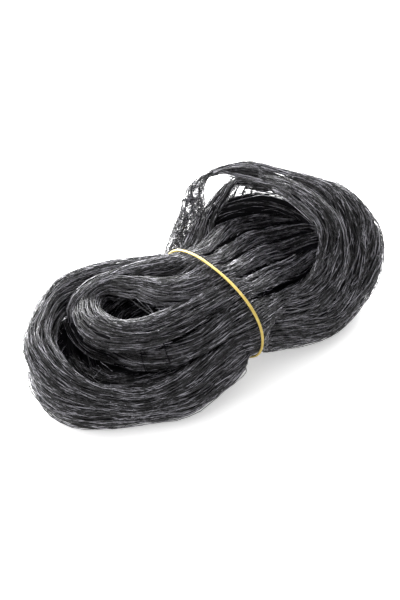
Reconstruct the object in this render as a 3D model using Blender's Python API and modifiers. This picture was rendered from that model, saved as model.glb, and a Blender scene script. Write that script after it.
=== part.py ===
"""A hank of knotted bird netting, pinched at its waist by one rubber band.

The net is gathered lengthwise into a soft rope and wound in closed turns. The rubber band
splits every turn into two bends: the left lobe is a low nest of rings round a small eye, and
the right lobe is a fan of locks under a wide hood of net that rises off them.
Every bend is one fold: a loft of oval sections along a smooth path, ridged by its main twists.
The folds are fused into one solid, drawn in at the waist and flat where it lies.
Lengths below are millimetres until they are scaled by MM. +Z is up, +X runs along the hank.
"""

import math

import bmesh
import bpy
from mathutils import Vector

MM = 0.001
LEFT, RIGHT = -1, 1

# The waist, an oval drawn in by the rubber band.
WAIST_X = -3.3
WAIST_Y = -0.8
WAIST_Z = 27.8
WAIST_HALF_WIDTH = 41.1
WAIST_HALF_HEIGHT = 22.2
WAIST_SQUARENESS = 2.2
WAIST_LEAN = 0.05
NECK_PROFILE = ((-20, -9), (-12, -3), (-5, 0), (5, 0), (12, -3), (20, -9))
PINCH_HALF_LENGTH = 5.0
PINCH_SLOPE = 0.012

# The rubber band, round in section, on the waist with a hair's clearance.
BAND_RADIUS = 0.75
BAND_GAP = 0.4
BAND_POINTS = 72

# Paths and sections.
ROUNDNESS = 1.17
STEPS_PER_SPAN = 14
SECTION_POINTS = 40
RIDGE_DEPTH = 0.08
RIDGE_TURN = 0.8

# Fusing.
VOXEL = 1.9
TRIANGLES = 11200
FLAT_BAND = 0.5
SMOOTHING_PASSES = 3

# One row for each section of a fold, from where it leaves the waist to where it comes back:
# x (away from the waist), y, z of its middle, half width, half height, lean in degrees.
# A positive lean drops the outer edge of the section.
FOLDS = (
    ("outer_ring_low", LEFT, 10, (
        (0, 30, 19, 10, 10, 0),
        (56, 43, 12, 11, 13, 0),
        (101.5, 9, 13, 10, 15, 0),
        (60, -32, 9, 9, 9.5, 0),
        (30, -35, 14, 9.5, 10, 0),
        (0, -29, 19, 10, 10, 0))),
    ("outer_ring_top", LEFT, 10, (
        (0, 29, 34, 10, 9, 0),
        (56, 46, 34, 11, 11.5, 0),
        (85, 39, 33, 8, 9.5, 5),
        (101.5, 16, 26.5, 9, 12, 10),
        (91, -15, 17.5, 7, 9, 15),
        (62, -31, 13.5, 7, 8, 20),
        (0, -31, 25, 9, 9, 0))),
    ("band_leg", LEFT, 8, (
        (0, 14, 20, 9, 8, 0),
        (42, 28, 18, 9, 10, 0),
        (60, 10, 16, 8, 8, 0),
        (40, -19, 27, 8, 7, 30),
        (0, -25, 37, 9, 8, 0))),
    ("under_ring", LEFT, 8, (
        (0, 22, 38, 9, 7, 0),
        (46, 36, 31, 8, 8, 0),
        (82, 21, 12, 6.5, 6.5, 0),
        (56, -10, 6.5, 9, 6, 0),
        (0, -8, 20, 9, 6, 0))),
    ("back_filler", LEFT, 6, (
        (0, 20, 42, 9, 7, 0),
        (42, 33, 40.5, 8, 6.5, 5),
        (66, 33, 39, 6.5, 5.5, 10),
        (76, 27, 27, 4.5, 4.5, 0),
        (68, 12, 15, 5, 5, 0),
        (46, -4, 16, 6, 6, 0),
        (0, -8, 30, 7, 6, 0))),
    ("inner_coil", LEFT, 8, (
        (0, -3, 44, 12, 6, 0),
        (27, 5, 43, 11, 6, 0),
        (40, 20, 41.5, 7.5, 6.5, 0),
        (56, 32, 39, 6, 6, 0),
        (71, 13, 37, 9, 7, 5),
        (54, -7, 37, 9, 7, 10),
        (0, -14, 43, 9, 7, 0))),
    ("floor_turn", LEFT, 6, (
        (0, 12, 20, 13, 12, 0),
        (44, 24, 8, 19, 9, 0),
        (76, 8, 6, 17, 8, 0),
        (44, -10, 7, 19, 8, 0),
        (0, -12, 20, 13, 12, 0))),
    ("hood_inner", RIGHT, 8, (
        (0, 37, 32, 4, 3, 90),
        (9, 50, 42, 4, 3, 70),
        (40, 56, 62, 3, 3, 30),
        (73, -2, 54, 10, 6, 25),
        (58, -23, 26, 9, 7, 30),
        (0, -24, 26, 9, 9, 0))),
    ("hood_middle", RIGHT, 8, (
        (0, 36, 31, 4, 3, 90),
        (14, 51, 44, 4, 3, 70),
        (48, 55, 62, 3, 3, 30),
        (90, 0, 46, 12, 7, 33),
        (62, -29, 14, 11, 9, 20),
        (0, -29, 20, 9, 9, 0))),
    ("hood_outer", RIGHT, 8, (
        (0, 34, 30, 4, 3, 90),
        (22, 51, 46, 4, 3, 70),
        (56, 51, 56, 3, 3, 30),
        (101, 0, 40, 13, 8, 45),
        (64, -30, 11, 11, 10, 20),
        (0, -30, 19, 9, 10, 0))),
    ("back_wall", RIGHT, 8, (
        (0, 31, 31, 11, 9, 70),
        (42, 49, 32, 17, 7, 85),
        (90, 16, 22, 14, 8, 60),
        (50, -18, 12, 9, 8, 0),
        (0, -20, 18, 8, 8, 0))),
    ("lock_1", RIGHT, 6, (
        (0, 20, 40, 8, 7, 15),
        (52, 36, 31, 7, 8, 20),
        (88, 12, 20, 8, 8, 20),
        (50, -18, 12, 8, 8, 0),
        (0, -20, 18, 8, 8, 0))),
    ("lock_2", RIGHT, 6, (
        (0, 9, 43, 7, 6, 0),
        (52, 22, 30, 7, 7, 10),
        (86, 4, 20, 8, 8, 20),
        (50, -18, 12, 8, 8, 0),
        (0, -20, 18, 8, 8, 0))),
    ("lock_3", RIGHT, 6, (
        (0, -4, 44, 7, 6, 0),
        (50, 8, 29, 7, 7, 0),
        (84, -4, 20, 8, 8, 20),
        (50, -18, 12, 8, 8, 0),
        (0, -20, 18, 8, 8, 0))),
    ("lock_4", RIGHT, 6, (
        (0, -17, 41, 7, 7, -10),
        (46, -6, 27, 8, 7, -10),
        (80, -10, 18, 8, 8, 10),
        (50, -22, 12, 8, 8, 0),
        (0, -20, 18, 8, 8, 0))),
    ("lock_5", RIGHT, 6, (
        (0, -27, 33, 8, 8, -20),
        (40, -18, 22, 8, 7, -10),
        (74, -14, 14, 8, 8, 10),
        (50, -24, 12, 8, 8, 0),
        (0, -20, 18, 8, 8, 0))),
    ("lock_bed", RIGHT, 6, (
        (0, 10, 26, 14, 12, 0),
        (46, 14, 13, 15, 14, 0),
        (70, 2, 11, 14, 12, 0),
        (46, -10, 11, 14, 12, 0),
        (0, -10, 24, 14, 12, 0))),
    ("floor_ring", RIGHT, 8, (
        (0, 12, 18, 12, 10, 0),
        (44, 28, 11, 13, 12, 0),
        (92, 4, 9, 10, 10, 0),
        (50, -20, 9, 12, 10, 0),
        (0, -14, 18, 12, 10, 0))),
)


def hermite(start, end, start_tangent, end_tangent, t):
    """A point of the cubic between two points with the given tangents."""
    return (start * (2 * t**3 - 3 * t**2 + 1)
            + start_tangent * (t**3 - 2 * t**2 + t)
            + end * (3 * t**2 - 2 * t**3)
            + end_tangent * (t**3 - t**2))


def fold_path(side, sections):
    """Points along a fold, each with the span it lies in and how far along that span it is."""
    knots = [Vector(row[:3]) for row in sections]
    leave = Vector((1, 0, 0))
    heads = [(leave + (knots[1] - knots[0]).normalized()).normalized()]
    for before, after in zip(knots, knots[2:]):
        heads.append((after - before).normalized())
    heads.append(((knots[-1] - knots[-2]).normalized() - leave).normalized())
    points = []
    for span in range(len(knots) - 1):
        reach = (knots[span + 1] - knots[span]).length * ROUNDNESS
        last = span == len(knots) - 2
        for step in range(STEPS_PER_SPAN + last):
            t = step / STEPS_PER_SPAN
            point = hermite(knots[span], knots[span + 1],
                            heads[span] * reach, heads[span + 1] * reach, t)
            point.x *= side
            points.append((point, span, t))
    return points


def eased(rows, column, span, t):
    """A section's size between two rows, leaving and reaching each row level."""
    blend = t * t * (3 - 2 * t)
    return rows[span][column] * (1 - blend) + rows[span + 1][column] * blend


def section_ring(centre, along, side, width, height, lean, ridges, turn):
    """The points of one oval section, with the ridges of the fold's main twists."""
    outward = along.cross(Vector((0, 0, 1))).normalized() * -side
    upward = along.cross(outward).normalized() * side
    ring = []
    for step in range(SECTION_POINTS):
        angle = 2 * math.pi * step / SECTION_POINTS
        swell = 1 + RIDGE_DEPTH * math.cos(ridges * angle + turn)
        across = width * swell * math.cos(angle)
        high = height * swell * math.sin(angle)
        out = across * math.cos(lean) + high * math.sin(lean)
        up = high * math.cos(lean) - across * math.sin(lean)
        point = centre + outward * out + upward * up
        point.z = max(point.z, 0)
        ring.append(point * MM)
    return ring


def add_fold(form, side, ridges, sections):
    """Loft one fold into the mesh and close its two ends."""
    path = fold_path(side, sections)
    rings = []
    for index, (centre, span, t) in enumerate(path):
        before = path[max(index - 1, 0)][0]
        after = path[min(index + 1, len(path) - 1)][0]
        width, height, lean = (eased(sections, column, span, t) for column in (3, 4, 5))
        ring = section_ring(centre, (after - before).normalized(), side, width, height,
                            math.radians(lean), ridges, RIDGE_TURN * (span + t))
        rings.append([form.verts.new(point) for point in ring])
    for ring, following in zip(rings, rings[1:]):
        for step in range(SECTION_POINTS):
            other = (step + 1) % SECTION_POINTS
            form.faces.new((ring[step], ring[other], following[other], following[step]))
    form.faces.new(reversed(rings[0]))
    form.faces.new(rings[-1])


def waist_point(angle, grow, along):
    """A point of the waist's oval, grown outward and moved along the hank."""
    power = 2 / WAIST_SQUARENESS
    y = (WAIST_HALF_WIDTH + grow) * math.copysign(abs(math.cos(angle)) ** power, math.cos(angle))
    z = (WAIST_HALF_HEIGHT + grow) * math.copysign(abs(math.sin(angle)) ** power, math.sin(angle))
    return Vector((WAIST_X + along + WAIST_LEAN * z, WAIST_Y + y, WAIST_Z + z)) * MM


def add_neck(form):
    """The short oval trunk in which all folds meet under the rubber band."""
    rings = []
    angles = [2 * math.pi * step / BAND_POINTS for step in range(BAND_POINTS)]
    for along, grow in NECK_PROFILE:
        rings.append([form.verts.new(waist_point(angle, grow, along)) for angle in angles])
    for ring, following in zip(rings, rings[1:]):
        for step in range(BAND_POINTS):
            other = (step + 1) % BAND_POINTS
            form.faces.new((ring[step], ring[other], following[other], following[step]))
    form.faces.new(reversed(rings[0]))
    form.faces.new(rings[-1])


def draw_in_waist(mesh):
    """Pull in whatever stands proud of the waist's oval, less and less away from the band."""
    for vertex in mesh.vertices:
        y = vertex.co.y / MM - WAIST_Y
        z = vertex.co.z / MM - WAIST_Z
        along = vertex.co.x / MM - WAIST_X - WAIST_LEAN * z
        away = max(abs(along) - PINCH_HALF_LENGTH, 0)
        allowed = 1 + PINCH_SLOPE * (away + away**2)
        proud = (abs(y / WAIST_HALF_WIDTH) ** WAIST_SQUARENESS
                 + abs(z / WAIST_HALF_HEIGHT) ** WAIST_SQUARENESS) ** (1 / WAIST_SQUARENESS)
        if proud > allowed:
            vertex.co.y = (WAIST_Y + y * allowed / proud) * MM
            vertex.co.z = (WAIST_Z + z * allowed / proud) * MM


def flatten_underside(mesh):
    """Lay the lowest points on the floor."""
    lowest = min(vertex.co.z for vertex in mesh.vertices)
    for vertex in mesh.vertices:
        vertex.co.z -= lowest
        if vertex.co.z < FLAT_BAND * MM:
            vertex.co.z = 0


def with_modifier(mesh, kind, **settings):
    """The mesh after one modifier."""
    holder = bpy.data.objects.new("holder", mesh)
    bpy.context.scene.collection.objects.link(holder)
    modifier = holder.modifiers.new(kind, kind)
    for name, value in settings.items():
        setattr(modifier, name, value)
    graph = bpy.context.evaluated_depsgraph_get()
    result = bpy.data.meshes.new_from_object(holder.evaluated_get(graph))
    bpy.data.objects.remove(holder)
    bpy.data.meshes.remove(mesh)
    return result


def hank_mesh():
    """All folds and the neck, fused into one solid."""
    form = bmesh.new()
    for _name, side, ridges, sections in FOLDS:
        add_fold(form, side, ridges, sections)
    add_neck(form)
    bmesh.ops.recalc_face_normals(form, faces=form.faces)
    mesh = bpy.data.meshes.new("net_hank")
    form.to_mesh(mesh)
    form.free()
    mesh = with_modifier(mesh, "REMESH", mode="VOXEL", voxel_size=VOXEL * MM)
    mesh = with_modifier(mesh, "SMOOTH", factor=0.5, iterations=SMOOTHING_PASSES)
    draw_in_waist(mesh)
    faces = sum(len(polygon.vertices) - 2 for polygon in mesh.polygons)
    mesh = with_modifier(mesh, "DECIMATE", ratio=TRIANGLES / faces)
    flatten_underside(mesh)
    draw_in_waist(mesh)
    mesh.name = "net_hank"
    return mesh


def band_curve():
    """The rubber band, a closed round cord on the waist's oval."""
    curve = bpy.data.curves.new("rubber_band", "CURVE")
    curve.dimensions = "3D"
    curve.bevel_depth = BAND_RADIUS * MM
    curve.bevel_resolution = 2
    spline = curve.splines.new("POLY")
    spline.points.add(BAND_POINTS - 1)
    for step, point in enumerate(spline.points):
        angle = 2 * math.pi * step / BAND_POINTS
        point.co = (*waist_point(angle, BAND_GAP + BAND_RADIUS, 0), 1)
    spline.use_cyclic_u = True
    return curve


def material(name, colour, roughness):
    """A plain material."""
    made = bpy.data.materials.new(name)
    made.use_nodes = True
    shader = made.node_tree.nodes["Principled BSDF"]
    shader.inputs["Base Color"].default_value = (*colour, 1)
    shader.inputs["Roughness"].default_value = roughness
    shader.inputs["Metallic"].default_value = 0
    return made


def place(name, data, look, collection, offset):
    """One named object, moved by the offset that puts the hank's footprint on the origin."""
    made = bpy.data.objects.new(name, data)
    made.location = offset
    data.materials.append(look)
    collection.objects.link(made)
    return made


def build():
    """The hank and its rubber band."""
    for leftover in list(bpy.data.objects):
        bpy.data.objects.remove(leftover)
    collection = bpy.data.collections.new("bird_netting_hank")
    bpy.context.scene.collection.children.link(collection)
    net = hank_mesh()
    spots = [vertex.co for vertex in net.vertices]
    middle = [(min(spot[axis] for spot in spots) + max(spot[axis] for spot in spots)) / 2
              for axis in (0, 1)]
    offset = (-middle[0], -middle[1], 0)
    place("net_hank", net, material("black_net", (0.02, 0.02, 0.022), 0.6), collection, offset)
    place("rubber_band", band_curve(), material("yellow_rubber", (0.8, 0.5, 0.08), 0.45),
          collection, offset)


build()
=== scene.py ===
import math

import bpy
import numpy as np
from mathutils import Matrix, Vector
from mathutils.bvhtree import BVHTree


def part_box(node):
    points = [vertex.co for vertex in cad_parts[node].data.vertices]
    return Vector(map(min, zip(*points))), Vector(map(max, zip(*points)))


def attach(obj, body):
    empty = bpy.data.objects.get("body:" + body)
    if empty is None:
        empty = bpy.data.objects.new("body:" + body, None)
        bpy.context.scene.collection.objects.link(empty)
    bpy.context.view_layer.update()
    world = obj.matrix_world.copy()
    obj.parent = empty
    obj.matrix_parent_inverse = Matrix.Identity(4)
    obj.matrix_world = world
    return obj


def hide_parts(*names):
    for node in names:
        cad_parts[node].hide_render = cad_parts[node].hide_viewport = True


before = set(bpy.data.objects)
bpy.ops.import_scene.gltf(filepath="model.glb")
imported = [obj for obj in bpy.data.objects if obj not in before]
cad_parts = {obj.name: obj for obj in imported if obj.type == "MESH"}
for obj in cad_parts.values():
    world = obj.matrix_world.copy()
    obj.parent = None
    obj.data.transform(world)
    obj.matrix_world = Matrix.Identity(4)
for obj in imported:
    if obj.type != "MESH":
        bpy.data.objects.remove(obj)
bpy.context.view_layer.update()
bpy.ops.object.select_all(action="DESELECT")
MM = 0.001


# ---------------------------------------------------------------------------------------------
# Camera, floor and light.
# The hank lies on a sheet of opal white board that glows a little, in a small white studio. Two
# softboxes stand behind it and one on each side. The pale room is lighter behind the hank.
# ---------------------------------------------------------------------------------------------
band_low, band_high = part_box("rubber_band")
waist = (band_low + band_high) / 2

CAMERA_AZIMUTH = math.radians(-38)
CAMERA_ELEVATION = math.radians(40)
CAMERA_DISTANCE = 0.825
AIM_FROM_WAIST = Vector((-3.2, 7.5, -1.2)) * MM

toward_camera = Vector((math.sin(CAMERA_AZIMUTH) * math.cos(CAMERA_ELEVATION),
                        -math.cos(CAMERA_AZIMUTH) * math.cos(CAMERA_ELEVATION),
                        math.sin(CAMERA_ELEVATION)))
camera_data = bpy.data.cameras.new("camera")
camera_data.lens = 90
camera_data.sensor_width = 36
camera = bpy.data.objects.new("camera", camera_data)
camera.location = waist + AIM_FROM_WAIST + toward_camera * CAMERA_DISTANCE
camera.rotation_mode = "QUATERNION"
camera.rotation_quaternion = (-toward_camera).to_track_quat("-Z", "Y")
bpy.context.scene.collection.objects.link(camera)
bpy.context.scene.camera = camera
bpy.context.scene.view_settings.view_transform = "Standard"

BOARD_SIZE, BOARD_BELOW = 6, 0.0002
bpy.ops.mesh.primitive_plane_add(size=BOARD_SIZE, location=(0, 0, -BOARD_BELOW))
floor = bpy.context.object
floor.name = "white_board"
board = bpy.data.materials.new("white_board")
board.use_nodes = True
board_shader = board.node_tree.nodes["Principled BSDF"]
board_shader.inputs["Base Color"].default_value = (0.8, 0.8, 0.8, 1)
board_shader.inputs["Emission Color"].default_value = (1, 1, 1, 1)
board_shader.inputs["Emission Strength"].default_value = 0.4
board_shader.inputs["Roughness"].default_value = 0.8
board_shader.inputs["Specular IOR Level"].default_value = 0.2
floor.data.materials.append(board)


def softbox(name, azimuth, elevation, wide, high, power):
    """A lamp a metre away that faces the hank."""
    turn, rise = math.radians(azimuth), math.radians(elevation)
    toward = Vector((math.cos(rise) * math.cos(turn), math.cos(rise) * math.sin(turn),
                     math.sin(rise)))
    lamp = bpy.data.lights.new(name, "AREA")
    lamp.shape = "RECTANGLE"
    lamp.size = wide
    lamp.size_y = high
    lamp.energy = power
    holder = bpy.data.objects.new(name, lamp)
    holder.location = toward
    holder.rotation_euler = (-toward).to_track_quat("-Z", "Y").to_euler()
    bpy.context.scene.collection.objects.link(holder)


softbox("softbox_back", 75, 24, 1.4, 0.6, 40)
softbox("softbox_low_back", 100, 12, 0.8, 0.3, 42)
softbox("softbox_right", 30, 25, 0.8, 0.5, 10)
softbox("softbox_left", 165, 35, 0.8, 0.5, 3)

room = bpy.data.worlds.new("pale_room")
room.use_nodes = True
room.node_tree.nodes["Background"].inputs["Color"].default_value = (1, 1, 1, 1)
toward_wall = room.node_tree.nodes.new("ShaderNodeTexCoord")
wall_axes = room.node_tree.nodes.new("ShaderNodeSeparateXYZ")
room.node_tree.links.new(toward_wall.outputs["Generated"], wall_axes.inputs["Vector"])
wall_light = room.node_tree.nodes.new("ShaderNodeMapRange")
wall_light.inputs["From Min"].default_value = -1
wall_light.inputs["To Min"].default_value = 0.55
wall_light.inputs["To Max"].default_value = 1.75
room.node_tree.links.new(wall_axes.outputs["Y"], wall_light.inputs["Value"])
room.node_tree.links.new(wall_light.outputs["Result"],
                         room.node_tree.nodes["Background"].inputs["Strength"])
bpy.context.scene.world = room


# ---------------------------------------------------------------------------------------------
# Outer rings of the low lobe.
# The net is gathered into a soft rope of fine black nylon twine, knotted every eleven
# millimetres, and two wide turns of it make the low lobe's rim. Each turn is a bundle: a dark
# packed inside, and loose twines on it, drawn together into small locks.
# ---------------------------------------------------------------------------------------------

# The oval waist that every fold passes through. Folds are laid out in millimetres round their
# own origin, and the last value takes them to the hank's place.
WAIST_X, WAIST_Y, WAIST_Z = -3.3, -0.8, 27.8
WAIST_HALF_WIDTH, WAIST_HALF_HEIGHT = 41.1, 22.2
WAIST_SQUARENESS = 2.2
WAIST_LEAN = 0.05
FOLDS_TO_HANK = np.array((waist.x / MM - WAIST_X, waist.y / MM - WAIST_Y, 0))

net_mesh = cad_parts["net_hank"].data
net_skin = BVHTree.FromPolygons([vertex.co / MM for vertex in net_mesh.vertices],
                                [tuple(polygon.vertices) for polygon in net_mesh.polygons])

# A fold: the side of the waist it lies on, how round its bends are, the ridges on its skin and
# how they turn, its steps, and how far it runs on through the waist.
LEFT, RIGHT = -1, 1
ROUNDNESS = 1.17
RIDGE_DEPTH, RIDGE_TURN = 0.08, 0.8
SPAN_POINTS = 40
FINE_STEP = 1.5
CROSSING = 14.0


def unit(vectors):
    """The same vectors, one long."""
    return vectors / np.maximum(np.linalg.norm(vectors, axis=-1, keepdims=True), 1e-9)


def fold_line(side, ridges, rows):
    """A fold's path in short even steps, with its section's size, turn and two axes.

    The rows are its sections: x away from the waist, y, z, half width, half height and lean."""
    rows = np.array(rows, float)
    knots = rows[:, :3]
    chords = np.diff(knots, axis=0)
    reach = np.linalg.norm(chords, axis=1)[:, None] * ROUNDNESS
    leave = np.array((1.0, 0, 0))
    heads = np.vstack((unit(leave + unit(chords[0])), unit(knots[2:] - knots[:-2]),
                       unit(unit(chords[-1]) - leave)))
    points, sizes, spans = [], [], []
    for span in range(len(rows) - 1):
        is_last = span == len(rows) - 2
        t = np.linspace(0, 1, SPAN_POINTS, endpoint=is_last)[:, None]
        points.append(knots[span] * (2 * t**3 - 3 * t**2 + 1)
                      + heads[span] * reach[span] * (t**3 - 2 * t**2 + t)
                      + knots[span + 1] * (3 * t**2 - 2 * t**3)
                      + heads[span + 1] * reach[span] * (t**3 - t**2))
        blend = t * t * (3 - 2 * t)
        sizes.append(rows[span, 3:] * (1 - blend) + rows[span + 1, 3:] * blend)
        spans.append(span + t[:, 0])
    points, sizes, spans = np.vstack(points), np.vstack(sizes), np.concatenate(spans)
    points[:, 0] *= side
    crossing = np.array((-side * CROSSING, 0, 0))
    points = np.vstack((points[:1] + crossing, points, points[-1:] + crossing))
    sizes = np.vstack((sizes[:1], sizes, sizes[-1:]))
    spans = np.concatenate((spans[:1], spans, spans[-1:]))
    distance = np.concatenate(((0,), np.linalg.norm(np.diff(points, axis=0), axis=1).cumsum()))
    even = np.arange(0, distance[-1], FINE_STEP)
    centre = np.stack([np.interp(even, distance, points[:, axis]) for axis in range(3)], 1)
    width, height, lean = (np.interp(even, distance, sizes[:, column]) for column in range(3))
    lean = np.radians(lean)[:, None]
    along = unit(np.gradient(centre, axis=0))
    outward = unit(np.cross(along, (0, 0, 1))) * -side
    upward = np.cross(along, outward) * side
    return {"ridges": ridges, "length": even[-1], "centre": centre,
            "across": outward * np.cos(lean) - upward * np.sin(lean),
            "high": outward * np.sin(lean) + upward * np.cos(lean),
            "width": width, "height": height,
            "turn": RIDGE_TURN * np.interp(even, distance, spans)}


def at(line, name, distance):
    """One of the path's properties, part-way between its steps."""
    place = np.clip(distance / FINE_STEP, 0, len(line["centre"]) - 1.001)
    step = place.astype(int)
    part = place - step
    values = line[name]
    if values.ndim == 2:
        part = part[..., None]
    return values[step] * (1 - part) + values[step + 1] * part


DEEPEST_SHARE = 0.7


def on_fold(line, distance, angle, depth):
    """Points at a depth below a fold's skin, and the skin's outward directions there."""
    width, height = at(line, "width", distance), at(line, "height", distance)
    swell = 1 + RIDGE_DEPTH * np.cos(line["ridges"] * angle + at(line, "turn", distance))
    depth = np.minimum(depth, DEEPEST_SHARE * np.minimum(width, height))
    across, high = at(line, "across", distance), at(line, "high", distance)
    cos, sin = np.cos(angle), np.sin(angle)
    spot = (at(line, "centre", distance) + across * ((width - depth) * swell * cos)[..., None]
            + high * ((height - depth) * swell * sin)[..., None])
    out = unit(across * (cos / width)[..., None] + high * (sin / height)[..., None])
    return spot, out


PINCH_HALF_LENGTH, PINCH_SLOPE = 5.0, 0.012


def draw_in(spot, depth):
    """Pull points in under the rubber band, less and less away from it."""
    y, z = spot[..., 1] - WAIST_Y, spot[..., 2] - WAIST_Z
    along = spot[..., 0] - WAIST_X - WAIST_LEAN * z
    away = np.maximum(np.abs(along) - PINCH_HALF_LENGTH, 0)
    allowed = 1 + PINCH_SLOPE * (away + away**2) - np.maximum(depth, 0) / WAIST_HALF_HEIGHT
    proud = (np.abs(y / WAIST_HALF_WIDTH) ** WAIST_SQUARENESS
             + np.abs(z / WAIST_HALF_HEIGHT) ** WAIST_SQUARENESS) ** (1 / WAIST_SQUARENESS)
    pull = np.where(proud > allowed, allowed / np.maximum(proud, 1e-6), 1)
    return np.stack((spot[..., 0], WAIST_Y + y * pull, WAIST_Z + z * pull), -1)


def depth_in_net(spots):
    """How far below the whole hank's skin each point lies; less than 0 is outside it."""
    depths = np.empty(spots.shape[:-1])
    for index in np.ndindex(depths.shape):
        spot = Vector(spots[index])
        near, normal, _face, distance = net_skin.find_nearest(spot)
        depths[index] = distance if (spot - near).dot(normal) < 0 else -distance
    return depths


def new_batch():
    """An empty batch of tubes that become one piece."""
    return {"vertices": [], "faces": [], "uvs": [], "count": 0}


def finish_batch(name, batch, material):
    """One smooth-shaded piece from a batch, with its pattern's UV map, riding on the hank."""
    mesh = bpy.data.meshes.new(name)
    mesh.from_pydata(np.vstack(batch["vertices"]) * MM, [], batch["faces"])
    uvs = np.concatenate(batch["uvs"]).astype(np.float32)
    mesh.uv_layers.new(name="OFBake").data.foreach_set("uv", uvs.ravel())
    mesh.shade_smooth()
    mesh.materials.append(material)
    made = bpy.data.objects.new(name, mesh)
    bpy.context.scene.collection.objects.link(made)
    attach(made, "root")
    return made


# In a twine's pattern, u picks its tone, which is partly painted highlight and shade, and v runs
# to and fro along it.
TEXEL = 1 / 1024
TONE_RUN = 96.0
LAST_TONE = 0.99


def tube_corners(spot, out, radius):
    """The three corners of each twine's section at each of its points."""
    along = unit(np.gradient(spot, axis=0))
    beside = unit(np.cross(along, out))
    over = np.cross(beside, along)
    turns = [math.radians(120 * corner) for corner in range(3)]
    return np.stack([spot + (over * math.cos(turn) + beside * math.sin(turn)) * radius[..., None]
                     for turn in turns], 2)


def add_tubes(batch, spot, out, shown, radius, tone, distance):
    """Three-sided twines through the shown points, closed at their ends."""
    strands = shown.shape[1]
    corners = tube_corners(spot, out, np.broadcast_to(radius, shown.shape))
    order = (np.cumsum(shown.T.ravel()).reshape(strands, -1).T - 1) * 3 + batch["count"]
    batch["vertices"].append(corners.transpose(1, 0, 2, 3)[shown.T].reshape(-1, 3))
    batch["count"] += 3 * int(shown.sum())
    both = shown[:-1] & shown[1:]
    first, second = order[:-1][both], order[1:][both]
    u = np.broadcast_to(tone, shown.shape)[:-1][both]
    v = np.abs((distance / TONE_RUN) % 2 - 1)
    v0, v1 = v[:-1][both], v[1:][both]
    for corner in range(3):
        after = (corner + 1) % 3
        batch["faces"] += np.stack((first + corner, first + after,
                                    second + after, second + corner), 1).tolist()
        left, right = u + corner * TEXEL, u + (corner + 1) * TEXEL
        batch["uvs"].append(np.stack((left, v0, right, v0, right, v1, left, v1), 1).ravel())
    beyond = np.zeros((1, strands), bool)
    starts = order[shown & ~np.vstack((beyond, shown[:-1]))]
    ends = order[shown & ~np.vstack((shown[1:], beyond))]
    end_uvs = (0.5, 0.5, 0.5 + TEXEL, 0.5, 0.5, 0.5 + TEXEL)
    for tip, turned in ((starts, (2, 1, 0)), (ends, (0, 1, 2))):
        batch["faces"] += np.stack([tip + corner for corner in turned], 1).tolist()
        batch["uvs"].append(np.tile(end_uvs, len(tip)))


KNOT_RADIUS, KNOT_STRETCH = 0.34, 1.5


def add_knots(batch, spot, out, along, tone):
    """The small hard lumps where two twines are tied."""
    beside = unit(np.cross(along, out))
    tips = [spot + out * KNOT_RADIUS, spot + beside * KNOT_RADIUS,
            spot - out * KNOT_RADIUS, spot - beside * KNOT_RADIUS,
            spot + along * KNOT_RADIUS * KNOT_STRETCH, spot - along * KNOT_RADIUS * KNOT_STRETCH]
    base = batch["count"] + 6 * np.arange(len(spot))
    batch["vertices"].append(np.stack(tips, 1).reshape(-1, 3))
    batch["count"] += 6 * len(spot)
    for step in range(4):
        after = (step + 1) % 4
        for trio in ((step, after, 4), (after, step, 5)):
            batch["faces"] += np.stack([base + tip for tip in trio], 1).tolist()
            batch["uvs"].append(np.stack((tone, tone, tone + TEXEL, tone,
                                          tone, tone + TEXEL), 1).ravel())


# The locks that twines draw together into: big, middling and small ones, each with its width
# and strength, and the lengths and sizes of the slow waves in which they wander.
LOCKS = ((9.0, 0.3), (3.4, 0.42), (1.8, 0.5))
LOCK_WAVES = (60, 150)
LOCK_WANDER, LOCK_WANDER_MORE = 1.3, 0.7
LOCK_FIRMNESS, LOCK_FIRMER = 0.75, 0.35
TIE_PULL = 0.36


def lock_swells(rng, girth):
    """The locks of a bundle: how many, how firm and how they wander, for each size of lock."""
    return [(max(round(girth / width), 3), strength, rng.uniform(0, 2 * math.pi, 4),
             rng.uniform(*LOCK_WAVES, 3)) for width, strength in LOCKS]


def draw_locks(swells, angle, distance):
    """Draw twines together into locks; the second result is how far they sink between them."""
    sunk = 0
    for ridges, strength, starts, periods in swells:
        waves = np.sin(2 * math.pi * distance[..., None] / periods + starts[:3])
        phase = (ridges * angle + starts[3] + LOCK_WANDER * waves[..., 0]
                 + LOCK_WANDER_MORE * waves[..., 1])
        firm = strength * (LOCK_FIRMNESS + LOCK_FIRMER * waves[..., 2])
        sunk = sunk + firm * np.cos(phase)
        angle = angle + firm / ridges * np.sin(phase)
    return angle, sunk


def tie(angle, knots):
    """Bring each twine to its neighbours in turn, a knot every second step."""
    steps, count = angle.shape
    strand = np.arange(count)
    partner = np.where((strand + np.arange(steps)[:, None] // 2) % 2 == 0, 1, -1)
    beside = np.take_along_axis(angle, (strand + partner) % count, 1)
    beside = beside + 2 * math.pi * np.round((angle - beside) / (2 * math.pi))
    return np.where(knots[:, None], angle + TIE_PULL * (beside - angle), angle)


# Where no loose twines lie, or few: deep in the hank, in the creases between some folds, on
# the underside, at the hidden ends, and in the pockets. A pocket's x, y, top, half length, half
# width, and the share of the twines that is left in it. Twines are left out in clumps.
SEEN_DEPTH = 2.4
CREASE_WIDTH, CREASE_FACING = 2.6, 0.3
# The near-black packing that shows in the pockets is painted shade: it stands for the dark of the
# eye and of the hollows near it.
POCKETS = ((-48, 12, 40.5, 14, 12, 0.06), (-79, 25, 34, 7.5, 8, 0.08), (-74, 7, 41, 10, 15, 0.5))
UNDERSIDE, UNDERSIDE_SHARE = 1.2, 0.3
HIDDEN_END = 12.0
CLUMP_TWINES, CLUMP_BEAT, CLUMP_STRAYS = 9, 2.1, 0.9


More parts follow.
